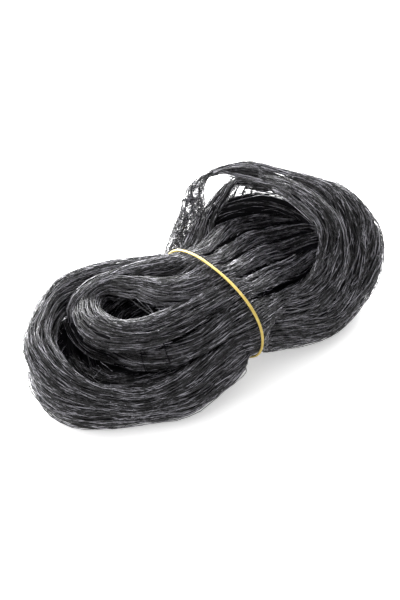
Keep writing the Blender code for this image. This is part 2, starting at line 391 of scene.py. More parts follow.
def in_crease(spot, out, other):
    """Whether each point lies in the crease between its own fold and another one."""
    reach = spot[:, :, None] - (other["centre"][::3] + FOLDS_TO_HANK)
    away = np.linalg.norm(reach, axis=-1)
    near = away.argmin(-1)
    toward = np.take_along_axis(reach, near[..., None, None], 2)[:, :, 0]
    gap = away.min(-1) - np.minimum(other["width"], other["height"])[::3][near]
    return (gap < CREASE_WIDTH) & ((out * unit(toward)).sum(-1) < CREASE_FACING)


def is_laid(rng, line, spot, out, distance, begin, fill, thin_side, beside):
    """Whether each point of a fold's twines is there and may be seen."""
    count = spot.shape[1]
    strand = np.arange(count)
    shown = depth_in_net(spot) < SEEN_DEPTH
    shown &= (spot[..., 2] > UNDERSIDE) | (rng.uniform(0, 1, count) < UNDERSIDE_SHARE)
    clump = (np.sin(strand * 2 * math.pi / CLUMP_TWINES + begin[0])
             + np.sin(strand / CLUMP_BEAT + begin[1]))
    rank = (clump + rng.normal(0, CLUMP_STRAYS, count)).argsort().argsort() / count
    shown &= (rank < np.interp(distance, *zip(*fill))) | (out @ np.array(thin_side) < 0)
    for other in beside:
        if other is not line:
            shown &= ~in_crease(spot, out, other)
    for x, y, top, long, wide, share in POCKETS:
        away = (spot - FOLDS_TO_HANK - (x, y, 0)) / (long, wide, 1)
        inside = (np.hypot(away[..., 0], away[..., 1]) < 1) & (away[..., 2] < top)
        shown &= ~inside | (rank < share)
    to_end = np.minimum(distance, line["length"] - distance)
    return shown & (to_end > CROSSING + rng.uniform(0, HIDDEN_END, count))


# The net: the leg between two knots, the steps along it, which are finer near the waist, the
# twines, how they sway and shake aside and in depth, how they dive at their ends, and the
# layers, share and depth of the twines that show a knot.
LEG = 11.0
HALF_LEG = LEG / 2
NEAR_WAIST = 42.0
LAYER_DEPTHS = (0.25, 1.0, 1.75)
TWINE_RADIUS, TWINE_PITCH = 0.22, 0.95
THICKNESSES = (0.8, 1.2)
SWAY_LENGTHS = (25, 70)
SWAY, SWAY_DEEP = 0.3, 0.25
SHAKE, SHAKE_DEEP = 0.13, 0.12
LOCK_SINK = 0.55
DIVE_LENGTH, DIVE_DEPTH, DIVE_CURVE = 14.0, 2.6, 1.5
FLOOR_GAP = 0.05
KNOTTED_LAYERS, KNOTTED_SHARE, KNOTTED_DEPTH = 2, 0.25, 1.2
FULL = ((0, 1),)


def finer_near_waist(coarse, length):
    """Steps along a fold, one more between each two near the waist.

    The other results are the coarse step before each, and how far past that step it lies."""
    from_waist = np.minimum(coarse, length - coarse)
    between = coarse[:-1][from_waist[:-1] < NEAR_WAIST] + HALF_LEG / 2
    fine = np.sort(np.concatenate((coarse, between)))
    before = np.clip(np.searchsorted(coarse, fine, side="right") - 1, 0, len(coarse) - 2)
    return fine, before, ((fine - coarse[before]) / HALF_LEG)[:, None]


def lay_net(batch, line, seed, fill=FULL, loose=1, thin_side=(0, 0, 0), beside=()):
    """Lay a fold's net: layers of twines tied to their neighbours in turn, drawn into locks.

    The fill says what share of the twines is there at some distances along the fold, all
    round it or on its thin side only. The creases against the folds beside it stay bare."""
    rng = np.random.default_rng(seed)
    girth = 2 * math.pi * math.sqrt((line["width"]**2 + line["height"]**2).mean() / 2)
    count = 2 * int(girth / TWINE_PITCH / 2)
    even = 2 * math.pi * np.arange(count) / count
    swells = lock_swells(rng, girth)
    for layer, deep in enumerate(LAYER_DEPTHS):
        start = rng.uniform(0, LEG)
        steps = int((line["length"] - start) / HALF_LEG)
        distance = np.broadcast_to((start + np.arange(steps) * HALF_LEG)[:, None], (steps, count))
        angle, sunk = draw_locks(swells, even + rng.uniform(0, 2 * math.pi), distance)
        period, begin = rng.uniform(*SWAY_LENGTHS, count), rng.uniform(0, 2 * math.pi, count)
        own = np.sin(2 * math.pi * distance / period + begin)
        wander = loose * (SWAY * own + rng.normal(0, SHAKE, distance.shape))
        angle = tie(angle + wander * 2 * math.pi / girth, np.arange(steps) % 2 == 0)
        depth = (deep + LOCK_SINK * sunk + SWAY_DEEP * own
                 + rng.normal(0, SHAKE_DEEP, distance.shape))

        fine, before, part = finer_near_waist(distance[:, 0], line["length"])
        angle, depth = (values[before] * (1 - part) + values[before + 1] * part
                        for values in (angle, depth))
        distance = np.broadcast_to(fine[:, None], angle.shape)
        angle = angle - at(line, "turn", distance) / line["ridges"]
        to_end = np.minimum(distance, line["length"] - distance)
        dive = np.clip((CROSSING + DIVE_LENGTH - to_end) / DIVE_LENGTH, 0, 1)**DIVE_CURVE
        depth = depth + DIVE_DEPTH * dive
        spot, out = on_fold(line, distance, angle, depth)
        spot = draw_in(spot, depth) + FOLDS_TO_HANK
        radius = TWINE_RADIUS * rng.uniform(*THICKNESSES, count)
        spot[..., 2] = np.maximum(spot[..., 2], radius + FLOOR_GAP)

        shown = is_laid(rng, line, spot, out, distance, begin, fill, thin_side, beside)
        grown = shown.copy()
        grown[1:] |= shown[:-1]
        grown[:-1] |= shown[1:]
        tone = rng.uniform(0, LAST_TONE, count)
        add_tubes(batch, spot, out, grown, radius, tone, distance)
        if layer < KNOTTED_LAYERS:
            tied = (before % 2 == 0) & (part[:, 0] < 0.01)
            tied = (shown & tied[:, None] & (rng.uniform(0, 1, shown.shape) < KNOTTED_SHARE)
                    & (depth < KNOTTED_DEPTH))
            along = unit(np.gradient(spot, axis=0))
            add_knots(batch, spot[tied], out[tied], along[tied],
                      np.broadcast_to(tone, tied.shape)[tied])


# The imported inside: how far it lies below the skin, its steps and sides, where it starts, how
# far it stays off the floor, and the length that its pattern's width stands for.
CORE_INSET = 2.2
CORE_STEP, CORE_SIDES = 3.0, 24
CORE_START = CROSSING - 4
CORE_FLOOR_GAP = 0.3
CORE_RUN = 340


def tube_is_clockwise(spot):
    """Whether a tube's corners turn clockwise, seen along it."""
    middle = spot.shape[0] // 2
    along = spot[middle + 1].mean(0) - spot[middle].mean(0)
    arm = spot[middle] - spot[middle].mean(0)
    return np.dot(np.cross(arm, np.roll(arm, -1, axis=0)).sum(0), along) < 0


def lay_core(batch, line, strip, strips, first=CORE_START, last=CORE_START):
    """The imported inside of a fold: a closed tube just below its twines."""
    distance = np.arange(first, line["length"] - last, CORE_STEP)
    turn = np.arange(CORE_SIDES) / CORE_SIDES
    spot, _out = on_fold(line, distance[:, None], 2 * math.pi * turn[None],
                         np.full((1, 1), CORE_INSET))
    spot = draw_in(spot, CORE_INSET) + FOLDS_TO_HANK
    spot[..., 2] = np.maximum(spot[..., 2], CORE_FLOOR_GAP)
    base = batch["count"]
    batch["vertices"].append(spot.reshape(-1, 3))
    batch["count"] += spot.shape[0] * CORE_SIDES
    clockwise = tube_is_clockwise(spot)
    for ring in range(len(distance) - 1):
        for side in range(CORE_SIDES):
            after = (side + 1) % CORE_SIDES
            corners = [(ring, side), (ring, after), (ring + 1, after), (ring + 1, side)]
            flat = [(distance[r] / CORE_RUN, (strip + (side + (s != side)) / CORE_SIDES) / strips)
                    for r, s in corners]
            if clockwise:
                corners, flat = corners[::-1], flat[::-1]
            batch["faces"].append([base + r * CORE_SIDES + s for r, s in corners])
            batch["uvs"].append(np.array(flat).ravel())
    for ring, turned in ((0, not clockwise), (len(distance) - 1, clockwise)):
        rim = list(range(CORE_SIDES))
        rim = rim[::-1] if turned else rim
        batch["faces"].append([base + ring * CORE_SIDES + side for side in rim])
        batch["uvs"].append(np.array([(distance[ring] / CORE_RUN,
                                       (strip + side / CORE_SIDES) / strips)
                                      for side in rim]).ravel())


def new_material(name):
    """A material with nothing but its shader."""
    made = bpy.data.materials.new(name)
    made.use_nodes = True
    return made


def shader_of(material):
    """The sockets of a material's shader."""
    return material.node_tree.nodes["Principled BSDF"].inputs


def pattern_map(material, scale):
    """The piece's own pattern map, drawn closer together."""
    nodes, links = material.node_tree.nodes, material.node_tree.links
    pattern = nodes.new("ShaderNodeUVMap")
    pattern.uv_map = "OFBake"
    spread = nodes.new("ShaderNodeMapping")
    spread.inputs["Scale"].default_value = scale
    links.new(pattern.outputs["UV"], spread.inputs["Vector"])
    return spread.outputs["Vector"]


def noise_colour(material, place, scale, detail, rough, stops):
    """Colour a material by a noise, through some stops; the result is the noise itself."""
    nodes, links = material.node_tree.nodes, material.node_tree.links
    noise = nodes.new("ShaderNodeTexNoise")
    noise.inputs["Scale"].default_value = scale
    noise.inputs["Detail"].default_value = detail
    noise.inputs["Roughness"].default_value = rough
    links.new(place, noise.inputs["Vector"])
    ramp = nodes.new("ShaderNodeValToRGB")
    ends = ramp.color_ramp.elements
    for end in (0, -1):
        ends[end].position = stops[end][0]
        ends[end].color = (*stops[end][1], 1)
    for level, colour in stops[1:-1]:
        ends.new(level).color = (*colour, 1)
    links.new(noise.outputs["Fac"], ramp.inputs["Fac"])
    links.new(ramp.outputs["Color"], shader_of(material)["Base Color"])
    return noise.outputs["Fac"]


def noise_roughness(material, noise, levels, roughnesses):
    """Take the roughness from one value to another between two levels of a noise."""
    nodes, links = material.node_tree.nodes, material.node_tree.links
    gloss = nodes.new("ShaderNodeMapRange")
    gloss.inputs["From Min"].default_value, gloss.inputs["From Max"].default_value = levels
    gloss.inputs["To Min"].default_value, gloss.inputs["To Max"].default_value = roughnesses
    links.new(noise, gloss.inputs["Value"])
    links.new(gloss.outputs["Result"], shader_of(material)["Roughness"])


def noise_bump(material, noise, strength, height):
    """Raise a material's surface by a noise."""
    nodes, links = material.node_tree.nodes, material.node_tree.links
    bump = nodes.new("ShaderNodeBump")
    bump.inputs["Strength"].default_value = strength
    bump.inputs["Distance"].default_value = height
    links.new(noise, bump.inputs["Height"])
    links.new(bump.outputs["Normal"], shader_of(material)["Normal"])


def twine_material(name, dark, middle, light):
    """Black nylon twine: its tone changes at random from strand to strand and, in flecks, along
    each one; its light strands and flecks are partly painted highlight, glints of light on the
    twine, and its dark ones partly painted shade.
    """
    made = new_material(name)
    tone = noise_colour(made, pattern_map(made, (70, 4, 1)), scale=1, detail=5, rough=0.8,
                        stops=((0.452, dark), (0.515, middle), (0.588, light)))
    noise_roughness(made, tone, levels=(0.42, 0.6), roughnesses=(0.55, 0.2))
    shader_of(made)["Specular IOR Level"].default_value = 0.7
    return made


# Painted highlight and shade: the light end of the twine's tones stands for glints of light on it,
# and the dark end for twines in shade.
black_twine = twine_material("black_twine", (0.0015, 0.0015, 0.0017), (0.013, 0.0127, 0.0147),
                             (0.39, 0.381, 0.422))

# The imported net below the loose twines is near black, and streaked along the folds. Its near
# black is partly the twine's own black and partly painted shade: it stands for the shade deep
# among the twines, and shows as shade wherever few loose twines lie.
packed_net_and_shade = new_material("packed_net_and_shade")
streaks = noise_colour(packed_net_and_shade, pattern_map(packed_net_and_shade, (12, 160, 1)), scale=1, detail=3,
                       rough=0.5, stops=((0.35, (0.006, 0.0059, 0.007)),
                                         (0.7, (0.016, 0.0158, 0.018))))
noise_bump(packed_net_and_shade, streaks, strength=0.6, height=0.0006)
shader_of(packed_net_and_shade)["Roughness"].default_value = 0.8
shader_of(packed_net_and_shade)["Specular IOR Level"].default_value = 0.05

outer_ring_low = fold_line(LEFT, 10, (
    (0, 30, 19, 10, 10, 0),
    (56, 43, 12, 11, 13, 0),
    (101.5, 9, 13, 10, 15, 0),
    (60, -32, 9, 9, 9.5, 0),
    (30, -35, 14, 9.5, 10, 0),
    (0, -29, 19, 10, 10, 0)))
outer_ring_top = fold_line(LEFT, 10, (
    (0, 29, 34, 10, 9, 0),
    (56, 46, 34, 11, 11.5, 0),
    (85, 39, 33, 8, 9.5, 5),
    (101.5, 16, 26.5, 9, 12, 10),
    (91, -15, 17.5, 7, 9, 15),
    (62, -31, 13.5, 7, 8, 20),
    (0, -31, 25, 9, 9, 0)))
ring_core = new_batch()
lay_core(ring_core, outer_ring_low, 0, 2)
lay_core(ring_core, outer_ring_top, 1, 2)
ring_packing = finish_batch("outer_ring_packing", ring_core, packed_net_and_shade)
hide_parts("net_hank")
ring_twine = new_batch()
lay_net(ring_twine, outer_ring_low, 11)
lay_net(ring_twine, outer_ring_top, 12)
finish_batch("outer_ring_twine", ring_twine, black_twine)


# ---------------------------------------------------------------------------------------------
# Inner turns of the low lobe.
# Narrower turns of the same rope lie inside the rim: a tight coil round an open eye, a flat leg
# in front that runs back to the band, a turn below it, one against the back, and a floor turn.
# ---------------------------------------------------------------------------------------------
inner_turns = (
    fold_line(LEFT, 8, (
        (0, 14, 20, 9, 8, 0),
        (42, 28, 18, 9, 10, 0),
        (60, 10, 16, 8, 8, 0),
        (40, -19, 27, 8, 7, 30),
        (0, -25, 37, 9, 8, 0))),
    fold_line(LEFT, 8, (
        (0, 22, 38, 9, 7, 0),
        (46, 36, 31, 8, 8, 0),
        (82, 21, 12, 6.5, 6.5, 0),
        (56, -10, 6.5, 9, 6, 0),
        (0, -8, 20, 9, 6, 0))),
    fold_line(LEFT, 6, (
        (0, 20, 42, 9, 7, 0),
        (42, 33, 40.5, 8, 6.5, 5),
        (66, 33, 39, 6.5, 5.5, 10),
        (76, 27, 27, 4.5, 4.5, 0),
        (68, 12, 15, 5, 5, 0),
        (46, -4, 16, 6, 6, 0),
        (0, -8, 30, 7, 6, 0))),
    fold_line(LEFT, 8, (
        (0, -3, 44, 12, 6, 0),
        (27, 5, 43, 11, 6, 0),
        (40, 22.5, 41.5, 7.5, 6.5, 0),
        (56, 34, 39, 6, 6, 0),
        (71, 13, 37, 9, 7, 5),
        (54, -7, 37, 9, 7, 10),
        (0, -14, 43, 9, 7, 0))),
    fold_line(LEFT, 6, (
        (0, 12, 20, 13, 12, 0),
        (44, 24, 8, 19, 9, 0),
        (76, 8, 6, 17, 8, 0),
        (44, -10, 7, 19, 8, 0),
        (0, -12, 20, 13, 12, 0))))
coil = inner_turns[3]
inner_core, inner_twine = new_batch(), new_batch()
for turn, line in enumerate(inner_turns):
    lay_core(inner_core, line, turn, len(inner_turns))
    lay_net(inner_twine, line, 21 + turn, beside=inner_turns)
finish_batch("inner_turns_packing", inner_core, packed_net_and_shade)
finish_batch("inner_turns_twine", inner_twine, black_twine)


# ---------------------------------------------------------------------------------------------
# Locks of the open lobe.
# Past the band the rope opens like a fan into five plump locks that dive under the hood. Their
# twine is the black twine painted lighter, as painted light for the light that falls on the locks.
# They lie on a bed of net. A wall of net stands up behind them, with a thin rim on it and hardly
# any loose twines on its inner side.
# ---------------------------------------------------------------------------------------------
fan_locks = (
    fold_line(RIGHT, 6, (
        (0, 20, 40, 8, 7, 15),
        (52, 36, 31, 7, 8, 20),
        (88, 12, 20, 8, 8, 20),
        (50, -18, 12, 8, 8, 0),
        (0, -20, 18, 8, 8, 0))),
    fold_line(RIGHT, 6, (
        (0, 9, 43, 7, 6, 0),
        (52, 22, 30, 7, 7, 10),
        (86, 4, 20, 8, 8, 20),
        (50, -18, 12, 8, 8, 0),
        (0, -20, 18, 8, 8, 0))),
    fold_line(RIGHT, 6, (
        (0, -4, 44, 7, 6, 0),
        (50, 8, 29, 7, 7, 0),
        (84, -4, 20, 8, 8, 20),
        (50, -18, 12, 8, 8, 0),
        (0, -20, 18, 8, 8, 0))),
    fold_line(RIGHT, 6, (
        (0, -17, 41, 7, 7, -10),
        (46, -6, 27, 8, 7, -10),
        (80, -10, 18, 8, 8, 10),
        (50, -22, 12, 8, 8, 0),
        (0, -20, 18, 8, 8, 0))),
    fold_line(RIGHT, 6, (
        (0, -27, 33, 8, 8, -20),
        (40, -18, 22, 8, 7, -10),
        (74, -14, 14, 8, 8, 10),
        (50, -24, 12, 8, 8, 0),
        (0, -20, 18, 8, 8, 0))))
back_wall = fold_line(RIGHT, 8, (
    (0, 31, 31, 11, 9, 70),
    (42, 49, 32, 17, 7, 85),
    (90, 16, 22, 14, 8, 60),
    (50, -18, 12, 9, 8, 0),
    (0, -20, 18, 8, 8, 0)))
wall_rim = fold_line(RIGHT, 5, (
    (34, 48, 42, 2.5, 3, 0),
    (45, 46.5, 46.5, 3, 4, 0),
    (57, 42, 47, 3, 4.5, 0),
    (69, 35.5, 44.5, 3, 4.5, 0),
    (81, 25, 38, 3, 4, 0),
    (90, 12, 30, 3, 3, 0)))

# The share of twines on the wall and its rim, as (distance along the fold, share), and the
# direction that their thin side faces. Where the wall's twines are thin, its near-black packing
# shows as painted shade under the hood.
WALL_FILL = ((0, 1), (34, 1), (48, 0.12), (140, 0.12))
RIM_FILL = ((0, 0.25), (100, 0.25))
WALL_INNER_SIDE = (0, -1, 1.5)

fan_bed = (
    back_wall,
    wall_rim,
    fold_line(RIGHT, 6, (
        (0, 10, 26, 14, 12, 0),
        (46, 14, 13, 15, 14, 0),
        (70, 2, 11, 14, 12, 0),
        (46, -10, 11, 14, 12, 0),
        (0, -10, 24, 14, 12, 0))),
    fold_line(RIGHT, 8, (
        (0, 12, 18, 12, 10, 0),
        (44, 28, 11, 13, 12, 0),
        (92, 4, 9, 10, 10, 0),
        (50, -20, 9, 12, 10, 0),
        (0, -14, 18, 12, 10, 0))))
# Painted light: the locks' twine is a lighter copy of the black twine, standing for light that
# falls on the locks.
painted_light_twine = twine_material("painted_light_twine", (0.003, 0.003, 0.0034), (0.034, 0.0333, 0.038),
                              (0.52, 0.508, 0.56))
for name, lines, seed, twine in (("fan_locks", fan_locks, 31, painted_light_twine),
                                 ("fan_bed", fan_bed, 41, black_twine)):
    fan_core, fan_twine = new_batch(), new_batch()
    for turn, line in enumerate(lines):
        lay_core(fan_core, line, turn, len(lines))
        fill = WALL_FILL if line is back_wall else RIM_FILL if line is wall_rim else FULL
        lay_net(fan_twine, line, seed + turn, fill, thin_side=WALL_INNER_SIDE,
                beside=fan_locks if lines is fan_locks else ())
    finish_batch(name + "_packing", fan_core, packed_net_and_shade)
    finish_batch(name + "_twine", fan_twine, twine)


# ---------------------------------------------------------------------------------------------
# Hood of the open lobe.
# Three loose turns of net rise off the locks, arch over them and come down in front. They are
# full where they come down, and thin out to a few strands at the raised leg.
# ---------------------------------------------------------------------------------------------
hood = (
    fold_line(RIGHT, 8, (
        (0, 38, 33, 6, 2.5, 0),
        (10, 42, 36, 8.5, 2, 0),
        (19, 50, 40, 9, 1.5, 0),
        (25, 56, 48, 8, 1.5, 0),
        (32, 59, 56, 5, 1.5, 0),
        (46, 54.5, 63.5, 2.5, 2, 20),
        (73, -2, 54, 10, 6, 25),
        (58, -23, 26, 9, 7, 30),
        (0, -24, 26, 9, 9, 0))),
    fold_line(RIGHT, 8, (
        (0, 36, 31, 4, 3, 0),
        (14, 51, 41, 3, 3, 0),
        (24, 58, 52, 3, 3, 0),
        (46, 55, 64.5, 3, 2, 20),
        (68, 37, 63.5, 6.5, 3.5, 28),
        (90, 0, 46, 12, 7, 33),
        (62, -29, 14, 11, 9, 20),
        (0, -29, 20, 9, 9, 0))),
    fold_line(RIGHT, 8, (
        (0, 30, 33, 4, 3, 0),
        (10, 35, 38, 4, 2.5, 0),
        (19, 39, 40, 4, 2, 0),
        (31, 47, 43, 5, 2, 0),
        (43, 50, 50, 5.5, 2, 0),
        (54, 47, 57, 6.5, 3.5, 20),
        (101, 0, 40, 13, 8, 45),
        (64, -30, 11, 11, 10, 20),
        (0, -30, 19, 9, 10, 0))))
# For each turn: its share of twines as (distance along it, share), how far from the waist its
# packed inside starts, and how loose its twines are. The third turn's packing starts near the
# waist and few twines lie on it where it rises to the arch, so its near black shows there as
# painted shade.
HOOD_FILLS = (
    ((0, 0), (74, 0), (88, 0.4), (104, 0.7), (120, 1)),
    ((0, 0), (74, 0), (90, 0.5), (116, 0.8), (130, 1)),
    ((0, 0.5), (40, 0.4), (56, 0.15), (84, 0.15), (96, 0.8), (106, 1)))
HOOD_PACKED_FROM = (66, 76, 30)
HOOD_LOOSENESS = (2, 2, 1.5)
hood_core, hood_twine = new_batch(), new_batch()
for turn, line in enumerate(hood):
    packed_from = np.argmax(line["centre"][:, 0] > HOOD_PACKED_FROM[turn]) * FINE_STEP
    lay_core(hood_core, line, turn, len(hood), first=packed_from)
    lay_net(hood_twine, line, 51 + turn, HOOD_FILLS[turn], HOOD_LOOSENESS[turn])
finish_batch("hood_packing", hood_core, packed_net_and_shade)
finish_batch("hood_twine", hood_twine, black_twine)


# ---------------------------------------------------------------------------------------------
# Veil of the open lobe.
# The raised leg of the hood is one spread layer of net, from the band up to the arch. Its twines
# cross slantwise and part into slits; a few are drawn together into a dark knot half-way.
# ---------------------------------------------------------------------------------------------
# The sheet's rows from the band upwards: x, y and z of its outer edge, then of its inner one.
VEIL_EDGES = (
    (-6, 43, 31, 3, 37, 34),
    (-1, 45.5, 34.5, 8, 38, 37),
    (3.5, 47.5, 40, 17, 40.5, 39),
    (8, 48, 47, 28, 46.5, 41.5),
    (12, 49, 52, 33, 50, 44),
    (16, 52, 57, 35, 53.5, 46),
    (23, 56.5, 61, 35, 56, 50),
    (32, 58, 63.5, 37, 58, 55),
    (43, 56, 65, 39, 58, 60),
    (51, 54, 66, 45, 55, 62),
    (59, 44, 66, 51, 51, 62),
    (68, 36, 65, 60, 38, 61))
# Slits: the row, the place between the edges, half the length in rows, and half the width.
VEIL_SLITS = ((2.4, 0.14, 0.5, 0.1), (3.2, 0.1, 0.35, 0.08), (4.5, 0.3, 0.5, 0.07),
              (5.9, 0.5, 0.4, 0.11))
SLIT_PUSH, SLIT_SHARPNESS = 1.1, 3
# The twines: their steps and tones along the rows, how thick they are, how they wave and shake,
# how far past an edge they may stray before they are left out, and the way the sheet faces.
VEIL_STEP = 0.125
VEIL_ROW_RUN = 10
VEIL_RADIUS, VEIL_THICKNESSES = 0.125, (0.8, 1.25)
VEIL_WAVE_ROWS = (3, 6)
VEIL_SHAKE_ASIDE, VEIL_SHAKE = 0.012, 0.18
VEIL_MARGIN = 0.04
VEIL_FACES = (-0.4, -0.6, 0.7)


def lay_veil(batch, seed, count, begins, ends, slant, wander):
    """Twines over the sheet between the edges, from one row of the table to another."""
    rng = np.random.default_rng(seed)
    edges = np.array(VEIL_EDGES)
    row = np.arange(0, len(edges) - 1 + VEIL_STEP / 2, VEIL_STEP)[:, None]
    begin, end = rng.uniform(*begins, count), rng.uniform(*ends, count)
    start = rng.uniform(0, 2 * math.pi, (2, count))
    periods = rng.uniform(*VEIL_WAVE_ROWS, (2, count))
    place = rng.uniform(0, 1, count) + slant * (row - (begin + end) / 2)
    for wave in range(2):
        place = place + wander * np.sin(2 * math.pi * row / periods[wave] + start[wave])
    place = place + rng.normal(0, VEIL_SHAKE_ASIDE, place.shape)
    for slit_row, slit, long, wide in VEIL_SLITS:
        near = np.exp(-((row - slit_row) / long)**2 - 0.5 * ((place - slit) / wide)**2)
        push = np.tanh(SLIT_SHARPNESS * (place - slit) / wide)
        place = place + SLIT_PUSH * wide * push * near
    shown = (row >= begin) & (row <= end)
    shown &= (place > -VEIL_MARGIN) & (place < 1 + VEIL_MARGIN)
    place = np.clip(place, 0, 1)[..., None]
    rail = np.stack([np.interp(row[:, 0], np.arange(len(edges)), edges[:, axis])
                     for axis in range(6)], 1)[:, None]
    spot = rail[..., :3] * (1 - place) + rail[..., 3:] * place
    spot = spot + rng.normal(0, VEIL_SHAKE, spot.shape) + FOLDS_TO_HANK
    out = np.zeros(spot.shape) + VEIL_FACES
    distance = np.zeros(shown.shape) + VEIL_ROW_RUN * row
    add_tubes(batch, spot, out, shown, VEIL_RADIUS * rng.uniform(*VEIL_THICKNESSES, count),
              rng.uniform(0, LAST_TONE, count), distance)


veil = new_batch()
lay_veil(veil, 91, count=90, begins=(0, 0.3), ends=(10, 11), slant=0, wander=0.09)
lay_veil(veil, 92, count=56, begins=(0, 3), ends=(4.5, 8), slant=0.25, wander=0.04)
lay_veil(veil, 93, count=56, begins=(0, 3), ends=(4.5, 8), slant=-0.25, wander=0.04)
lay_veil(veil, 94, count=50, begins=(7, 8.5), ends=(10.5, 11), slant=0, wander=0.1)
finish_batch("veil_twine", veil, black_twine)


# ---------------------------------------------------------------------------------------------
# Neck under the rubber band.
# All the turns are squeezed into one oval neck, and their outermost twines run straight through
# it. On both sides they are combed along the folds, and dive among the others after a while.
# ---------------------------------------------------------------------------------------------

# How far the combed twines run to each side, the shortest as a share of the longest, and in
# what steps. They start straight, and then the nearest folds lead them.
NECK_REACH, NECK_SHORTEST = 38.0, 0.6
NECK_STEP = HALF_LEG / 2
NECK_STEPS = int(NECK_REACH / NECK_STEP)
NECK_TILT = 0.18
STRAIGHT_STEPS = 2
FLOW_REACH, FLOW_PULL, FLOW_FURTHEST = 3.0, 0.5, 30
# They sink into the seams between the folds, but not right under the band.
SEAM_WIDTH, SEAM_DEPTH = 1.8, 2.6
SEAMS_FROM, SEAM_RISE = 3, 10
NECK_SWAY_DEEP = 0.2
NECK_SHAKE, NECK_SHAKE_DEEP = 0.05, 0.08
NECK_KNOT_STEPS = 4
NECK_TONE_START = 50
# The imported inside: its length, and how much wider than the waist it is at some places along
# it, where less than 0 is narrower.
PACKED_LENGTH = 24.0
PACKED_PROFILE = ((-12, -7), (-5, 0), (5, 0), (12, -7))


def on_skin(spots, depth):
    """The hank's skin nearest to some points, sunk by a depth, and its outward normals."""
    near, normals = np.empty_like(spots), np.empty_like(spots)
    for index in np.ndindex(spots.shape[:-1]):
        near[index], normals[index], _face, _distance = net_skin.find_nearest(Vector(spots[index]))
    return near - normals * depth[..., None], normals


def comb(spot, side, folds):
    """Lead lines over the hank's skin from the waist, along the folds below them.

    The second result is how near each of their points is to the seam between two folds."""
    centre = np.vstack([line["centre"][::2] for line in folds]) + FOLDS_TO_HANK
    starts = np.cumsum([0] + [len(line["centre"][::2]) for line in folds[:-1]])
    along = np.vstack([unit(np.gradient(line["centre"], axis=0))[::2] for line in folds])
    size = np.concatenate([np.minimum(line["width"], line["height"])[::2] for line in folds])
    flat = np.zeros(len(spot))
    spot, normal = on_skin(spot, flat)
    heading = np.tile((float(side), NECK_TILT * (side == RIGHT), 0.0), (len(spot), 1))
    led, seams = [spot], [flat]
    for step in range(NECK_STEPS):
        gap = np.linalg.norm(spot[:, None] - centre, axis=2) - size
        to_folds = np.sort(np.minimum.reduceat(gap, starts, axis=1), axis=1)
        seams.append(np.exp(-((to_folds[:, 1] - to_folds[:, 0]) / SEAM_WIDTH)**2))
        if step >= STRAIGHT_STEPS:
            further = np.clip(gap - gap.min(1, keepdims=True), 0, FLOW_FURTHEST)
            pull = np.exp(-further / FLOW_REACH)
            flow = unit((pull * np.sign(heading @ along.T)) @ along)
            heading = unit(heading + FLOW_PULL * flow)
        heading = unit(heading - normal * (heading * normal).sum(1)[:, None])
        spot, normal = on_skin(spot + heading * NECK_STEP, flat)
        led.append(spot)
    return np.array(led), np.array(seams)


neck_core, neck_twine = new_batch(), new_batch()
across_neck = np.arange(-PACKED_LENGTH / 2, PACKED_LENGTH / 2 + 1, FINE_STEP)
grow = np.interp(across_neck, *zip(*PACKED_PROFILE))
axes = np.ones((len(across_neck), 1))
neck = {"ridges": 14, "length": across_neck[-1] - across_neck[0],
        "centre": np.array((WAIST_X, WAIST_Y, WAIST_Z)) + across_neck[:, None] * (1, 0, 0),
        "across": axes * (0, 1, 0), "high": axes * (0, 0, 1),
        "width": WAIST_HALF_WIDTH + grow, "height": WAIST_HALF_HEIGHT + grow,
        "turn": 0 * across_neck}
lay_core(neck_core, neck, 0, 1, first=0, last=0)

